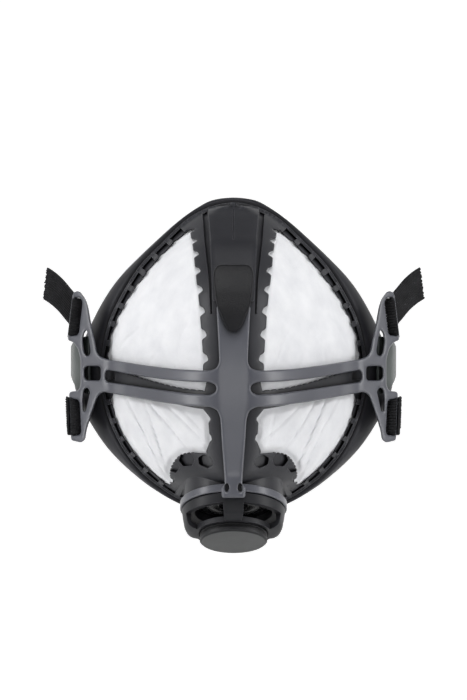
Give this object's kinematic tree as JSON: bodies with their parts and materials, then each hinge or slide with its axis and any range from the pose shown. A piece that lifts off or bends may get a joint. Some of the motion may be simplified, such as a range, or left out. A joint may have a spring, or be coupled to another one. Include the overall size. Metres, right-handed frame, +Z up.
{
  "type": "filtering half mask respirator",
  "caption": "Reusable half mask for paint work: dark shell with white filter windows, grey harness yoke, downward exhalation valve and elastic strap stubs.",
  "frame": {"origin": "middle of the face seal, on the plane of the shell's rim at mid height", "axes": "+Z up towards the nose, +Y towards the wearer's face, +X to the viewer's right as seen from the front"},
  "size_m": [0.1544, 0.0867, 0.1365],
  "materials": {
    "seal_rubber": "soft satin thermoplastic rubber",
    "frame_plastic": "satin",
    "filter_fabric": "matt nonwoven",
    "media_fabric": "matt melt-blown",
    "yoke_plastic": "semi-matt",
    "wing_plastic": "glossy",
    "pad_plastic": "fine grained",
    "elastic": "ribbed elastic",
    "valve_plastic": "satin",
    "flap_rubber": "smooth"
  },
  "bodies": {
    "mask": {"face_seal": "seal_rubber", "mask_frame": "frame_plastic", "filter_cover_lower_left": "filter_fabric", "filter_cover_lower_right": "filter_fabric", "filter_cover_upper_left": "filter_fabric", "filter_cover_upper_right": "filter_fabric", "filter_media_lower_left": "media_fabric", "filter_media_lower_right": "media_fabric", "filter_media_upper_left": "media_fabric", "filter_media_upper_right": "media_fabric", "harness_yoke": "yoke_plastic", "cheek_wing_left": "wing_plastic", "cheek_wing_right": "wing_plastic", "grip_pad": "pad_plastic", "valve_seat": "valve_plastic"},
    "diaphragm": {"exhalation_diaphragm": "flap_rubber"},
    "valve_guard": {"valve_cover": "valve_plastic", "valve_cap": "valve_plastic"},
    "strap_upper_left": {"strap_upper_left": "elastic"},
    "strap_upper_right": {"strap_upper_right": "elastic"},
    "strap_lower_left": {"strap_lower_left": "elastic"},
    "strap_lower_right": {"strap_lower_right": "elastic"}
  },
  "joints": [
    {"name": "diaphragm_lift", "type": "slide", "parent": "mask", "child": "diaphragm", "axis": [0, -0.4226, -0.9063], "range_m": [0, 0.0018], "stiffness_N_per_m": 20, "springref_m": -0.0005},
    {"name": "cover_pull_off", "type": "slide", "parent": "mask", "child": "valve_guard", "axis": [0, -0.4226, -0.9063], "range_m": [0, 0.012]},
    {"name": "strap_upper_left_swing", "type": "hinge", "parent": "mask", "child": "strap_upper_left", "pos_m": [-0.0637, 0.0124, 0.016], "axis": [-0.1289, 0.1186, -0.9845], "range_deg": [-30, 12]},
    {"name": "strap_lower_left_swing", "type": "hinge", "parent": "mask", "child": "strap_lower_left", "pos_m": [-0.0636, 0.01231, -0.0235], "axis": [0.0361, -0.0332, -0.9988], "range_deg": [-30, 5]},
    {"name": "strap_upper_right_swing", "type": "hinge", "parent": "mask", "child": "strap_upper_right", "pos_m": [0.0637, 0.0124, 0.016], "axis": [-0.1289, -0.1186, 0.9845], "range_deg": [-30, 12]},
    {"name": "strap_lower_right_swing", "type": "hinge", "parent": "mask", "child": "strap_lower_right", "pos_m": [0.0636, 0.01231, -0.0235], "axis": [0.0361, 0.0332, 0.9988], "range_deg": [-30, 5]}
  ]
}
